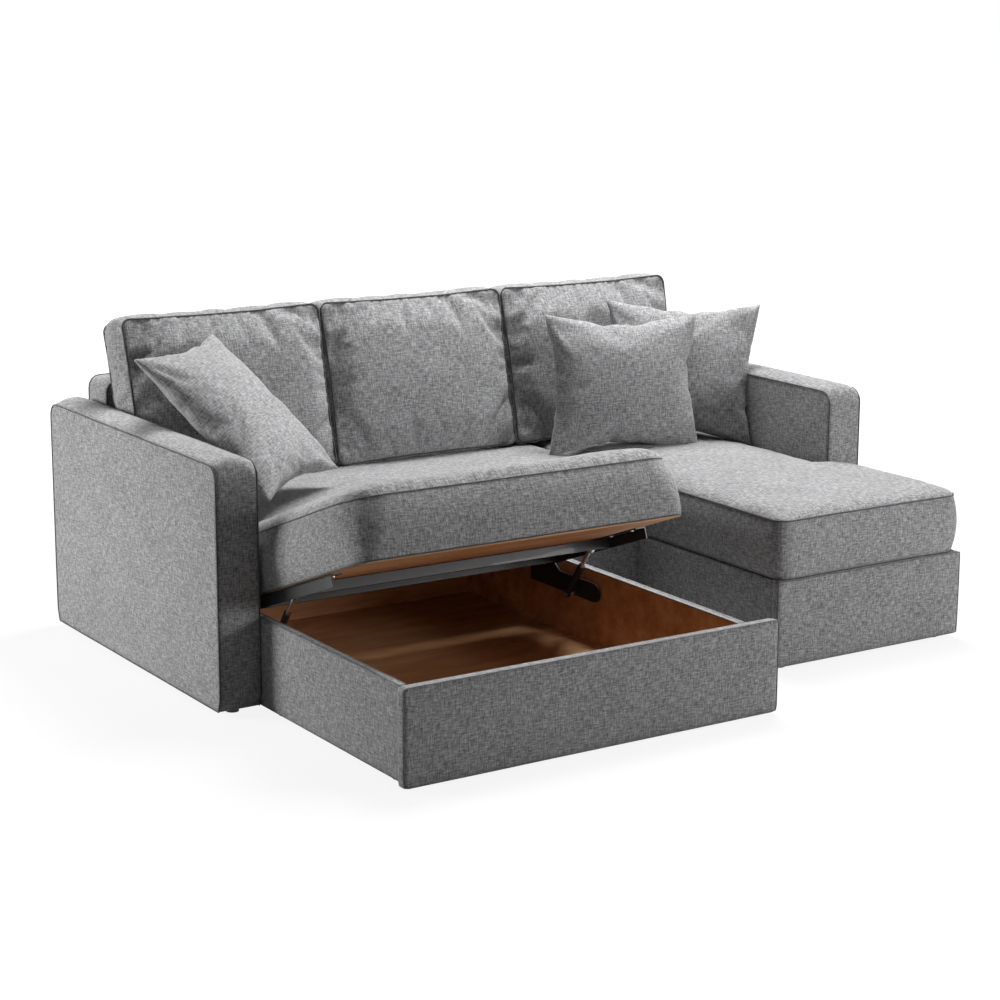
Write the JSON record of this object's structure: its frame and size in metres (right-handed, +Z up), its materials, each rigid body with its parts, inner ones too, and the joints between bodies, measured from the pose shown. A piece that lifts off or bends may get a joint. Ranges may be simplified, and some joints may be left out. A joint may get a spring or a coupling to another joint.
{
  "type": "storage sofa with lift-up seat",
  "caption": "Upholstered storage sofa with a gas-strut lift-up seat over a pull-out box, a fixed lounge seat and loose cushions.",
  "frame": {"origin": "on the floor, at the middle of the sofa's width and of its depth with the box pulled out", "axes": "+X to the sofa's right as seen from the front, +Y to the back, +Z up"},
  "size_m": [2.008, 1.675, 0.8665],
  "materials": {
    "upholstery": "matt woven",
    "pillow_cover": "matt woven",
    "upholstered_board": "board under matt woven cloth",
    "plywood": "oiled",
    "frame_timber": "sawn",
    "black_steel": "semi-gloss powder coat",
    "zinc_steel": "zinc plated",
    "chrome_rod": "ground bright",
    "glide_plastic": "satin"
  },
  "bodies": {
    "root": {"left_arm": "upholstery", "right_arm": "upholstery", "left_arm_frame": "frame_timber", "right_arm_frame": "frame_timber", "back_panel": "upholstery", "back_frame": "frame_timber", "seat_deck": "plywood", "rear_seat_cushion": "upholstery", "lounge_cushion": "upholstery", "lounge_front_panel": "upholstered_board", "lounge_left_panel": "upholstered_board", "lounge_right_panel": "upholstered_board", "lounge_deck": "plywood", "deck_ledgers": "frame_timber", "middle_front_panel": "upholstered_board", "base_partition": "plywood", "base_glides": "glide_plastic", "lounge_feet": "frame_timber", "left_back_cushion": "upholstery", "middle_back_cushion": "upholstery", "right_back_cushion": "upholstery", "left_pillow": "pillow_cover", "front_pillow": "pillow_cover", "rear_pillow": "pillow_cover", "mechanism_beam": "black_steel", "left_hinge_plate": "black_steel", "right_hinge_plate": "black_steel", "pivot_pins": "zinc_steel", "strut_lower_pins": "zinc_steel"},
    "storage_box": {"box_front_panel": "plywood", "box_left_wall": "plywood", "box_right_wall": "plywood", "box_rear_wall": "plywood", "box_front_cover": "upholstery", "box_left_cover": "upholstery", "box_right_cover": "upholstery", "box_floor": "plywood", "box_floor_cleats": "frame_timber", "box_glides": "glide_plastic", "box_stop_blocks": "frame_timber"},
    "lift_seat": {"lift_seat_cushion": "upholstery", "lift_seat_board": "plywood", "left_seat_rail": "black_steel", "right_seat_rail": "black_steel", "front_cross_tube": "black_steel", "rear_cross_tube": "black_steel", "seat_screws": "zinc_steel", "strut_upper_pins": "zinc_steel"},
    "strut_cylinders": {"left_strut_cylinder": "black_steel", "right_strut_cylinder": "black_steel"},
    "strut_rods": {"left_strut_rod": "chrome_rod", "right_strut_rod": "chrome_rod"}
  },
  "joints": [
    {"name": "seat_lift", "type": "hinge", "parent": "root", "child": "lift_seat", "pos_m": [0, -0.0095, 0.222], "axis": [-1, 0, 0], "range_deg": [-20.5, 0], "stiffness_Nm_per_rad": 60, "springref_deg": 126.05},
    {"name": "box_slide", "type": "slide", "parent": "root", "child": "storage_box", "axis": [0, -1, 0], "range_m": [-0.148, 0]},
    {"name": "strut_swing", "type": "hinge", "parent": "root", "child": "strut_cylinders", "pos_m": [0, -0.1345, 0.162], "axis": [-1, 0, 0], "range_deg": [-27.2, 0.4]},
    {"name": "strut_stroke", "type": "slide", "parent": "strut_cylinders", "child": "strut_rods", "axis": [0, -0.5825, 0.8128], "range_m": [-0.0464, 0.0005]}
  ],
  "couplings": [
    {"joint": "strut_swing", "follows": "seat_lift", "ratio": 1.309},
    {"joint": "strut_stroke", "follows": "seat_lift", "m_per_rad": 0.12825}
  ]
}
